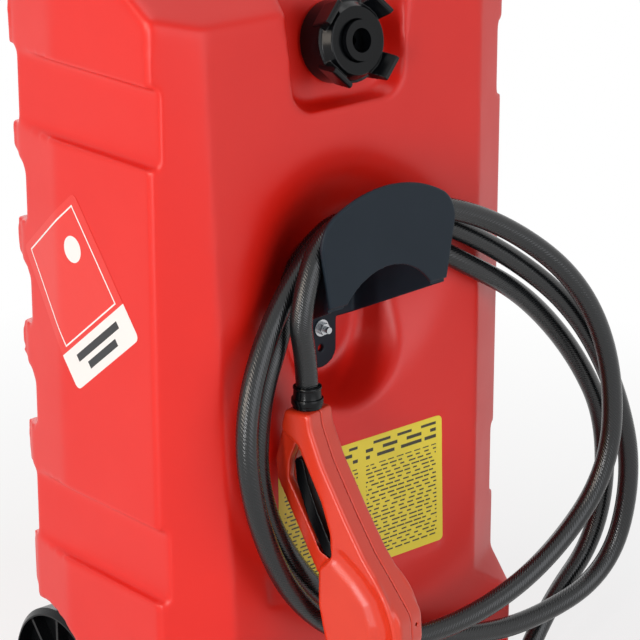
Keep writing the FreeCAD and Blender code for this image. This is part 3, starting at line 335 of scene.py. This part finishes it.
def wrappedRubber(look):
    # nitrile rubber cured in a cloth wrap, which leaves fine slanting ribs that catch the light
    material = newMaterial("clothWrappedRubber")
    along = addNode(material, "ShaderNodeTexCoord").outputs["UV"]
    ribsAlong = look["length"] * 1000 / look["weavePitch"]
    ribsRound = round(math.pi * look["diameter"] * 1000 / look["weavePitch"])
    scaled = addNode(material, "ShaderNodeMapping",
                     {"Vector": along, "Scale": (ribsAlong, ribsRound, 1)})
    slant = addNode(material, "ShaderNodeTexWave",
                    {"Vector": scaled, "Scale": 0.5, "Distortion": 0.3, "Detail": 1},
                    bands_direction="DIAGONAL")
    fleck = addNode(material, "ShaderNodeTexNoise",
                    {"Vector": scaled, "Scale": 0.9, "Detail": 2})      # about one rib wide
    weave = addNode(material, "ShaderNodeMath", {0: slant.outputs["Fac"], 1: fleck},
                    operation="MULTIPLY")
    colour = addNode(material, "ShaderNodeMix",
                     {"Factor": weave, "A": look["colour"], "B": look["colourTwo"]},
                     data_type="RGBA")
    shine = addNode(material, "ShaderNodeMapRange",
                    {"Value": weave, "To Min": look["dull"], "To Max": look["shiny"]})
    bump = addNode(material, "ShaderNodeBump",
                   {"Height": weave, "Distance": look["weaveHeight"] / 1000})
    shader = addNode(material, "ShaderNodeBsdfPrincipled",
                     {"Base Color": colour, "Roughness": shine, "Normal": bump, "IOR": 1.52})
    addNode(material, "ShaderNodeOutputMaterial", {"Surface": shader})
    return material


hose = tubeAlong("hoseRun", hoseRoute, hoseLook["diameter"] / 2, order=3,
                 roundness=hoseLook["roundness"])
finishPiece(hose, "tank", "hose_rubber", wrappedRubber(hoseLook), "hose")
print("hose laid")


# The tank: the hull's own shape with the soft edges that blow moulding leaves

tankLook = {
    "voxel": 0.0025, "easing": 5, "faces": 190000,
    "frontLow": (156, 147.5), "frontHigh": (733, 129),      # mm: height and reach of the front
    "rearLow": (0, 96), "rearHigh": (857, 106),             # mm: the same for the plain rear
    "ribFoot": 0.15, "ribSkin": 0.0028,          # the rear's ribs: lowest point, thickness of skin
    "ribRise": 0.0045, "ribSpread": 1.014,       # how much further out and wider they stand
    "browFront": -0.09, "browLow": 0.715, "browHigh": 0.75,      # edge under the slanting top
    "cornerSide": 0.19, "cornerLow": 0.72,                       # the two upper corners
    "extraEasing": 12,
}
bowlLook = {
    # mm: a wide part behind the hook, and the share of the full depth that it reaches
    "floorReach": 88, "height": 485, "radius": 142, "roll": 125, "wideShare": 0.75,
    # mm: a deeper rounded pocket in its middle, whose sides lean more below the hook
    "pocketHalf": 70, "pocketFoot": 353, "pocketTop": 526, "pocketRound": 58, "pocketRoll": 29,
    "pocketLean": 0.85, "sideEasing": 0.2, "easeBelow": 490, "easeOver": 120,
    # m: the block that fills the plain dish first, and how the bowl is pressed in
    "plugHalf": 0.124, "plugFoot": 0.336, "plugTop": 0.622, "plugBack": -0.079,
    "pressTop": 0.632, "pressSkin": 0.004, "deepest": 0.07,
}


def lineAt(low, high, height):
    return low[1] + (height - low[0]) * (high[1] - low[1]) / (high[0] - low[0])


def frontAt(height):
    # the leaning front face, in metres, for a height in metres
    return -lineAt(tankLook["frontLow"], tankLook["frontHigh"], height * 1000) / 1000


def rearAt(height):
    return lineAt(tankLook["rearLow"], tankLook["rearHigh"], height * 1000) / 1000


def easeInOut(value):
    value = min(max(value, 0), 1)
    return value ** 3 * (10 - 15 * value + 6 * value * value)


def raiseRearRibs(piece):
    # the ribs between the rear grooves stand a little prouder and wider than the plain wall
    look = tankLook
    editWhere(piece, lambda x, y, z: y > rearAt(z) - look["ribSkin"] and z > look["ribFoot"])
    bpy.ops.transform.translate(value=(0, look["ribRise"], 0))
    bpy.ops.transform.resize(value=(look["ribSpread"], 1, 1), center_override=(0, 0, 0))
    bpy.ops.object.mode_set(mode="OBJECT")


def addDishPlug():
    # a block that closes the plain dish flush with the front, ready for the rounder bowl
    deselectAll()
    bpy.ops.mesh.primitive_cube_add(size=1)
    block = bpy.context.object
    for vertex in block.data.vertices:
        height = bowlLook["plugTop"] if vertex.co.z > 0 else bowlLook["plugFoot"]
        reach = frontAt(height) if vertex.co.y < 0 else bowlLook["plugBack"]
        vertex.co = (math.copysign(bowlLook["plugHalf"], vertex.co.x), reach, height)
    return block


def bowlShare(x, z):
    # how much of the bowl's full depth is reached at a place on the front, from 0 to 1
    look = bowlLook
    wide = look["radius"] - math.hypot(x, z - look["height"])
    tall = (look["pocketTop"] - look["pocketFoot"]) / 2
    gentle = 1 - look["sideEasing"] * easeInOut((look["easeBelow"] - z) / look["easeOver"])
    across = (abs(x) - look["pocketHalf"]) * gentle + look["pocketRound"]
    along = (abs(z - look["pocketFoot"] - tall) - tall) * look["pocketLean"] + look["pocketRound"]
    pocket = (look["pocketRound"] - math.hypot(max(across, 0), max(along, 0))
              - min(max(across, along), 0))
    unused = 1 - look["wideShare"] * easeInOut(wide / look["roll"])
    return 1 - unused * (1 - easeInOut(pocket / look["pocketRoll"]))


def pressBowl(piece):
    # the front face is pressed in, by a weight on each point
    group = piece.vertex_groups.new(name="bowl")
    for vertex in piece.data.vertices:
        x, y, z = vertex.co
        onFront = y < frontAt(z) + bowlLook["pressSkin"]
        if onFront and bowlLook["plugFoot"] < z < bowlLook["pressTop"]:
            depth = -bowlLook["floorReach"] / 1000 - frontAt(z)
            share = bowlShare(x * 1000, z * 1000)
            if share > 0:
                group.add([vertex.index], share * depth / bowlLook["deepest"], "REPLACE")
    applyModifier(piece, "DISPLACE", direction="Y", mid_level=0, strength=bowlLook["deepest"],
                  vertex_group="bowl")
    piece.vertex_groups.remove(piece.vertex_groups["bowl"])


def easeShoulders(piece):
    # extra rounding for the edge under the slanting top and for the upper corners
    look = tankLook
    editWhere(piece, lambda x, y, z: (
        y < look["browFront"] and look["browLow"] < z < look["browHigh"]
        or z > look["cornerLow"] and abs(x) > look["cornerSide"]))
    bpy.ops.mesh.vertices_smooth(factor=0.5, repeat=look["extraEasing"])
    bpy.ops.object.mode_set(mode="OBJECT")


tank = copyNode("tank_shell", "tankMoulding")
raiseRearRibs(tank)
joinTo(tank, addDishPlug())
remesh(tank, tankLook)
pressBowl(tank)
remesh(tank, tankLook)      # the pressed mesh is stretched, so it is made even again
easeShoulders(tank)
soften(tank, tankLook)
finishPiece(tank, "tank", "tank_plastic", tankPlastic, "tank_shell")
print("tank moulded")


# Hook and cap ring get the same soft edges, in a finer mesh

hookLook = {"voxel": 0.0012, "easing": 2, "faces": 90000}
ringLook = {"voxel": 0.0007, "easing": 3, "faces": 110000}


def softCopy(node, name, body, material, look):
    piece = copyNode(node, name)
    remesh(piece, look)
    soften(piece, look)
    finishPiece(piece, body, "black_plastic", material, node)


softCopy("hose_hook", "hookMoulding", "tank", hookPlastic, hookLook)
softCopy("cap_ring", "capRingMoulding", "ring", capPlastic, ringLook)
print("hook and cap ring moulded")


# The pump: two shells with a round bead and a shallow dip each, a turned collar and a trigger

pumpLook = {
    "voxel": 0.0009, "easing": 15, "faces": 120000,
    "foot": (-0.0757, -0.212, 0), "turn": -75,      # the pump's own frame, in m and degrees
    # below, in mm of that frame: forwards, across and up, on the left shell
    "bead": [(42, -16, 251), (52, -18.5, 240), (60, -18.6, 226), (65, -18, 208),
             (66.5, -17.6, 190), (66, -17, 174)],
    "beadRadius": 3.4,
    "drain": (70, 9, 207), "drainRadius": 1.8, "drainDepth": 16,
    "dip": [(6, 0, 262), (24, 0, 248), (40, 0, 230), (49, 0, 208), (51, 0, 180)],
    "dipSide": 12, "dipWidth": 15, "dipDepth": 4,
}
pumpTurn = math.radians(pumpLook["turn"])
collarLook = {
    "centre": (-0.0861, -0.1734), "foot": 0.392, "steps": 72,
    # half of the collar's cut face, mm from the axis and mm up
    "profile": [(8, 0), (12.8, 0), (13.2, 0.5), (13.2, 3), (14.2, 3.6), (14.4, 4.4), (14.4, 8.4),
                (14.1, 9.2), (12.9, 9.8), (12.6, 11), (12.3, 17.2), (12.9, 18), (13, 19),
                (12.6, 19.8), (11.4, 20), (10.1, 20), (10.1, 12), (8, 12)],
}
triggerLook = {"voxel": 0.0007, "easing": 3, "faces": 30000}


def inPump(forwards, across, up):
    # a place in the pump's own frame, in mm, as a place on the object
    flat = Vector((forwards * math.cos(pumpTurn) - across * math.sin(pumpTurn),
                   forwards * math.sin(pumpTurn) + across * math.cos(pumpTurn), up)) / 1000
    return Vector(pumpLook["foot"]) + flat


def addBead(piece, mirrored):
    # a round bead along the head's rim, joined to the shell before it is remeshed
    places = [inPump(forwards, across * mirrored, up) for forwards, across, up in pumpLook["bead"]]
    bead = tubeAlong("bead", places, pumpLook["beadRadius"] / 1000)
    pick(bead)
    bpy.ops.object.convert(target="MESH")
    joinTo(piece, bead)


def drillDrain(piece):
    deselectAll()
    bpy.ops.mesh.primitive_cylinder_add(
        radius=pumpLook["drainRadius"] / 1000, depth=pumpLook["drainDepth"] / 1000,
        location=inPump(*pumpLook["drain"]), rotation=(0, math.radians(90), pumpTurn))
    drill = bpy.context.object
    applyModifier(piece, "BOOLEAN", object=drill, operation="DIFFERENCE", solver="EXACT")
    bpy.data.objects.remove(drill)


def wayToLine(place, path):
    # the shortest way from a place to a line of points
    ways = []
    for start, end in zip(path, path[1:]):
        along = end - start
        share = min(max((place - start).dot(along) / along.length_squared, 0), 1)
        ways.append((place - start - along * share).length)
    return min(ways)


def pressDip(piece, mirrored):
    # the side of the head dips behind its bead
    across = Vector((-math.sin(pumpTurn), math.cos(pumpTurn), 0))
    path = [Vector(point) for point in pumpLook["dip"]]
    group = piece.vertex_groups.new(name="dip")
    for vertex in piece.data.vertices:
        local = vertex.co - Vector(pumpLook["foot"])
        forwards = local.x * math.cos(pumpTurn) + local.y * math.sin(pumpTurn)
        if local.dot(across) * 1000 * mirrored < -pumpLook["dipSide"]:
            place = Vector((forwards, 0, local.z)) * 1000
            share = easeInOut(1 - wayToLine(place, path) / pumpLook["dipWidth"])
            if share > 0:
                group.add([vertex.index], share, "REPLACE")
    for axis, size in (("X", across.x), ("Y", across.y)):
        applyModifier(piece, "DISPLACE", direction=axis, mid_level=0, vertex_group="dip",
                      strength=mirrored * pumpLook["dipDepth"] / 1000 * size)
    piece.vertex_groups.remove(piece.vertex_groups["dip"])


def turnCollar():
    # a ring of points takes the cut face's outline and is spun round the hose
    deselectAll()
    bpy.ops.mesh.primitive_circle_add(vertices=len(collarLook["profile"]))
    collar = bpy.context.object
    collar.name = "collarMoulding"
    for vertex, (radius, up) in zip(collar.data.vertices, collarLook["profile"]):
        vertex.co = (radius / 1000, 0, up / 1000)
    applyModifier(collar, "SCREW", angle=math.radians(360), steps=collarLook["steps"],
                  use_merge_vertices=True, use_normal_calculate=True)
    collar.location = (*collarLook["centre"], collarLook["foot"])
    keepPlace(collar)
    editAll(collar)
    bpy.ops.mesh.remove_doubles(threshold=mergeGap)
    bpy.ops.mesh.normals_make_consistent(inside=False)
    bpy.ops.object.mode_set(mode="OBJECT")
    bpy.ops.object.shade_smooth_by_angle(angle=crispAngle)
    finishPiece(collar, "tank", "black_plastic", capPlastic, "hose_collar")


for side, mirrored in (("left", 1), ("right", -1)):
    shell = copyNode("pump_shell_" + side, "pumpShell" + side.title())
    if side == "right":
        drillDrain(shell)
    addBead(shell, mirrored)
    remesh(shell, pumpLook)
    pressDip(shell, mirrored)
    soften(shell, pumpLook)
    finishPiece(shell, "tank", "pump_plastic", pumpPlastic, "pump_shell_" + side)

turnCollar()
softCopy("pump_trigger", "triggerMoulding", "trigger", capPlastic, triggerLook)
print("pump moulded")


# The rest keep their CAD shape and get a finish

nodeFinish = {
    "axle": steelFinish, "axle_washers": steelFinish, "hook_studs": steelFinish,
    "hook_washers": steelFinish, "hook_nuts": steelFinish, "pump_screws": steelFinish,
    "trigger_pin": steelFinish, "trigger_spring": steelFinish,
    "wheel_left": wheelPlastic, "wheel_right": wheelPlastic, "hub_caps": wheelPlastic,
    "axle_spacers": capPlastic, "cap_port": capPlastic, "pump_spout": capPlastic,
    "valve_body": capPlastic, "hose_connector": capPlastic,
    "pump_duct": tubePlastic, "pickup_tube": tubePlastic, "cap_gasket": gasketRubber,
}
for node, finish in nodeFinish.items():
    coat(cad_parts[node], finish)
print("nodes finished")


# Labels: thin printed films, with bars and plain shapes only.
# Each layer prints one ink over the last: boxes are left, right, foot and top in mm. Word bars
# fill a part of each row, and a disc has its centre and radius.

filmLook = {
    "thickness": 0.0001, "lift": 0.00012,
    "roughness": 0.34, "rippleSize": 20, "rippleHeight": 0.2,      # the last two in mm
    "shortest": 0.42, "uneven": 0.5, "shift": 7.0,       # word bars: shares of a word's room
}
frontLabelLook = {
    "width": 0.201, "height": 0.1265, "corner": 0.005, "cells": 60,
    "centre": (0.0075, -0.2, 0.2636), "lean": 0, "turn": (90, 0, 0), "axis": "Y",
    "ground": "#F0DA3C",
    "layers": [
        {"ink": "#2B2714", "words": {"row": 4.1, "room": 11.0, "fill": 0.36},
         "boxes": [(7, 95.5, 6, 99.5), (105.5, 194, 6, 99.5)]},
        {"ink": "#2B2714", "words": {"row": 6.6, "room": 30.0, "fill": 0.5},
         "boxes": [(7, 95.5, 102.5, 121.5), (105.5, 194, 102.5, 121.5)]},
    ],
}
sideLabelLook = {
    "width": 0.116, "height": 0.144, "corner": 0.006, "cells": 72,
    "centre": (-0.3, -0.0018, 0.4813), "lean": 38.4, "turn": (90, 0, -90), "axis": "X",
    "ground": "#E03028",
    "layers": [
        {"ink": "#E9E8E8", "disc": (80, 105, 12.25),
         "boxes": [(10, 11.5, 39, 137), (104.5, 106, 39, 137), (10, 106, 39, 40.5),
                   (10, 106, 135.5, 137), (-1, 117, -1, 35)]},
        {"ink": "#26272A", "boxes": [(20, 96, 20, 27), (32, 84, 8, 15)]},
    ],
}


def insideBoxes(material, across, up, boxes):
    # 1 inside any of the boxes, otherwise 0
    inside = 0.0
    for left, right, foot, top in boxes:
        columns, rows = [
            addNode(material, "ShaderNodeMath",
                    {0: value, 1: (low + high) / 2, 2: (high - low) / 2}, operation="COMPARE")
            for value, low, high in ((across, left, right), (up, foot, top))]
        box = addNode(material, "ShaderNodeMath", {0: columns, 1: rows}, operation="MULTIPLY")
        inside = addNode(material, "ShaderNodeMath", {0: inside, 1: box}, operation="MAXIMUM")
    return inside


def insideWords(material, across, up, look):
    # rows of bars of uneven length, as a page of print looks from afar
    rows = addNode(material, "ShaderNodeMath", {0: up, 1: look["row"]}, operation="DIVIDE")
    rowNumber = addNode(material, "ShaderNodeMath", {0: rows}, operation="FLOOR")
    upRow = addNode(material, "ShaderNodeMath", {0: rows}, operation="FRACT")
    inRow = addNode(material, "ShaderNodeMath", {0: upRow, 1: look["fill"]},
                    operation="LESS_THAN")
    shift = addNode(material, "ShaderNodeTexWhiteNoise", {"W": rowNumber}, noise_dimensions="1D")
    start = addNode(material, "ShaderNodeMath", {0: across, 1: look["room"]}, operation="DIVIDE")
    words = addNode(material, "ShaderNodeMath", {0: shift, 1: filmLook["shift"], 2: start},
                    operation="MULTIPLY_ADD")
    wordNumber = addNode(material, "ShaderNodeMath", {0: words}, operation="FLOOR")
    key = addNode(material, "ShaderNodeCombineXYZ", {"X": wordNumber, "Y": rowNumber})
    chance = addNode(material, "ShaderNodeTexWhiteNoise", {"Vector": key}, noise_dimensions="2D")
    end = addNode(material, "ShaderNodeMath",
                  {0: chance, 1: filmLook["uneven"], 2: filmLook["shortest"]},
                  operation="MULTIPLY_ADD")
    alongWord = addNode(material, "ShaderNodeMath", {0: words}, operation="FRACT")
    inWord = addNode(material, "ShaderNodeMath", {0: alongWord, 1: end}, operation="LESS_THAN")
    return addNode(material, "ShaderNodeMath", {0: inRow, 1: inWord}, operation="MULTIPLY")


def printedFilm(name, look):
    # vinyl film with screen printed inks: smooth, a little glossy and not quite flat
    material = newMaterial(name)
    place = addNode(material, "ShaderNodeTexCoord").outputs["UV"]
    real = addNode(material, "ShaderNodeMapping",
                   {"Vector": place, "Scale": (look["width"] * 1000, look["height"] * 1000, 1)})
    split = addNode(material, "ShaderNodeSeparateXYZ", {"Vector": real})
    across, up = split.outputs["X"], split.outputs["Y"]
    colour = look["ground"]
    for layer in look["layers"]:
        inked = insideBoxes(material, across, up, layer["boxes"])
        if "words" in layer:
            words = insideWords(material, across, up, layer["words"])
            inked = addNode(material, "ShaderNodeMath", {0: inked, 1: words},
                            operation="MULTIPLY")
        if "disc" in layer:
            discAcross, discUp, radius = layer["disc"]
            away = addNode(material, "ShaderNodeVectorMath", {0: real, 1: (discAcross, discUp, 0)},
                           operation="DISTANCE")
            disc = addNode(material, "ShaderNodeMath", {0: away, 1: radius},
                           operation="LESS_THAN")
            inked = addNode(material, "ShaderNodeMath", {0: inked, 1: disc}, operation="MAXIMUM")
        colour = addNode(material, "ShaderNodeMix",
                         {"Factor": inked, "A": colour, "B": layer["ink"]}, data_type="RGBA")
    ripple = addNode(material, "ShaderNodeTexNoise",
                     {"Vector": real, "Scale": 1 / filmLook["rippleSize"], "Detail": 2})
    bump = addNode(material, "ShaderNodeBump",
                   {"Height": ripple, "Distance": filmLook["rippleHeight"] / 1000})
    shader = addNode(material, "ShaderNodeBsdfPrincipled",
                     {"Base Color": colour, "Normal": bump, "IOR": 1.5,
                      "Roughness": filmLook["roughness"]})
    addNode(material, "ShaderNodeOutputMaterial", {"Surface": shader})
    return material


def makeLabel(name, look, material):
    # a fine grid gets round corners, is turned to face its wall and pressed onto it
    deselectAll()
    bpy.ops.mesh.primitive_grid_add(x_subdivisions=look["cells"], y_subdivisions=look["cells"],
                                    size=1)
    label = bpy.context.object
    label.name = name
    label.scale = (look["width"], look["height"], 1)
    keepPlace(label)
    innerX, innerY = look["width"] / 2 - look["corner"], look["height"] / 2 - look["corner"]
    for vertex in label.data.vertices:
        over = Vector((max(abs(vertex.co.x) - innerX, 0), max(abs(vertex.co.y) - innerY, 0)))
        if over.x and over.y and over.length > look["corner"]:
            over *= look["corner"] / over.length
            vertex.co.x = math.copysign(innerX + over.x, vertex.co.x)
            vertex.co.y = math.copysign(innerY + over.y, vertex.co.y)
    label.rotation_euler = (0, 0, math.radians(look["lean"]))
    keepPlace(label)
    label.rotation_euler = [math.radians(angle) for angle in look["turn"]]
    label.location = look["centre"]
    keepPlace(label)
    applyModifier(label, "SHRINKWRAP", target=tank, wrap_method="PROJECT",
                  offset=filmLook["lift"], use_project_x=look["axis"] == "X",
                  use_project_y=look["axis"] == "Y", use_project_z=False,
                  use_positive_direction=True, use_negative_direction=False)
    applyModifier(label, "SOLIDIFY", thickness=filmLook["thickness"], offset=1)
    pick(label)
    bpy.ops.object.shade_smooth_by_angle(angle=crispAngle)
    coat(label, material)
    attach(label, "tank")


makeLabel("frontLabel", frontLabelLook, printedFilm("yellowPrintedFilm", frontLabelLook))
makeLabel("sideLabel", sideLabelLook, printedFilm("redPrintedFilm", sideLabelLook))
print("labels pressed on")


# Studio: a white surround seen by the camera and by reflections, soft lamps and a pale floor

studioLook = {
    "surround": 0.30,                          # light that comes from all round
    "aim": (0, 0, 0.45),                       # where the lamps point
    "lamps": {
        "key": {"place": (-3.0, -0.25, 1.6), "width": 1.5, "height": 1.5, "power": 50,
                "colour": "#FFF1E2"},
        "strip": {"place": (-2.3, -1.3, 0.6), "width": 0.12, "height": 1.1, "power": 18,
                  "colour": "#FFFFFF"},
        "fill": {"place": (0.4, -3.3, 1.1), "width": 2.4, "height": 2.4, "power": 34,
                 "colour": "#F6F9FF"},
        "top": {"place": (0.3, 0.3, 3.2), "width": 1.6, "height": 1.6, "power": 14,
                "colour": "#FFFFFF"},
        "back": {"place": (0.9, 3.2, 1.6), "width": 2.0, "height": 2.0, "power": 22,
                 "colour": "#FFFFFF"},
    },
    "paper": "#EFEFEF", "paperSize": 16, "paperDrop": 0.0005,
    "nearReach": 0.45, "farReach": 1.3,        # m from the middle: shadow shows, shadow is gone
    "nearGlow": 0.72,                          # how much of the paper is plain white near by
}


def softLamp(name, look):
    deselectAll()
    bpy.ops.object.light_add(type="AREA", location=look["place"])
    lamp = bpy.context.object
    lamp.name = name + "Lamp"
    aim = Vector(studioLook["aim"]) - Vector(look["place"])
    lamp.rotation_euler = aim.to_track_quat("-Z", "Y").to_euler()
    lamp.data.shape = "RECTANGLE"
    lamp.data.size = look["width"]
    lamp.data.size_y = look["height"]
    lamp.data.energy = look["power"]
    lamp.data.color = linearColour(look["colour"])[:3]


def seenDirectly(material):
    # 1 for what the camera, a mirror or clear plastic shows, 0 for the light that falls on things
    path = addNode(material, "ShaderNodeLightPath")
    shown = path.outputs["Is Camera Ray"]
    for ray in ("Is Glossy Ray", "Is Transmission Ray"):
        shown = addNode(material, "ShaderNodeMath", {0: shown, 1: path.outputs[ray]},
                        operation="ADD", use_clamp=True)
    return shown


def studioWorld():
    world = bpy.data.worlds.new("studioSurround")
    bpy.context.scene.world = world
    world.use_nodes = True
    world.node_tree.nodes.clear()
    around, white = [addNode(world, "ShaderNodeBackground", {"Color": "#FFFFFF", "Strength": glow})
                     for glow in (studioLook["surround"], 1.0)]
    shade = addNode(world, "ShaderNodeMixShader", {0: seenDirectly(world), 1: around, 2: white})
    addNode(world, "ShaderNodeOutputWorld", {"Surface": shade})


def mattPaper():
    # matt white paper sweep: it keeps the shadow near the object and is plain white further off
    material = newMaterial("mattWhitePaper")
    paper = addNode(material, "ShaderNodeBsdfDiffuse", {"Color": studioLook["paper"]})
    white = addNode(material, "ShaderNodeEmission", {"Color": "#FFFFFF", "Strength": 1.0})
    place = addNode(material, "ShaderNodeTexCoord").outputs["Object"]
    away = addNode(material, "ShaderNodeVectorMath", {0: place}, operation="LENGTH")
    plain = addNode(material, "ShaderNodeMapRange",
                    {"Value": away, "From Min": studioLook["nearReach"],
                     "From Max": studioLook["farReach"], "To Min": studioLook["nearGlow"]})
    share = addNode(material, "ShaderNodeMath", {0: plain, 1: seenDirectly(material)},
                    operation="MULTIPLY")
    shade = addNode(material, "ShaderNodeMixShader", {0: share, 1: paper, 2: white})
    addNode(material, "ShaderNodeOutputMaterial", {"Surface": shade})
    return material


studioWorld()
for lampName, lampLook in studioLook["lamps"].items():
    softLamp(lampName, lampLook)
deselectAll()
bpy.ops.mesh.primitive_plane_add(size=studioLook["paperSize"],
                                 location=(0, 0, -studioLook["paperDrop"]))
floor = bpy.context.object
floor.name = "studioFloor"
coat(floor, mattPaper())
print("floor and lamps set")
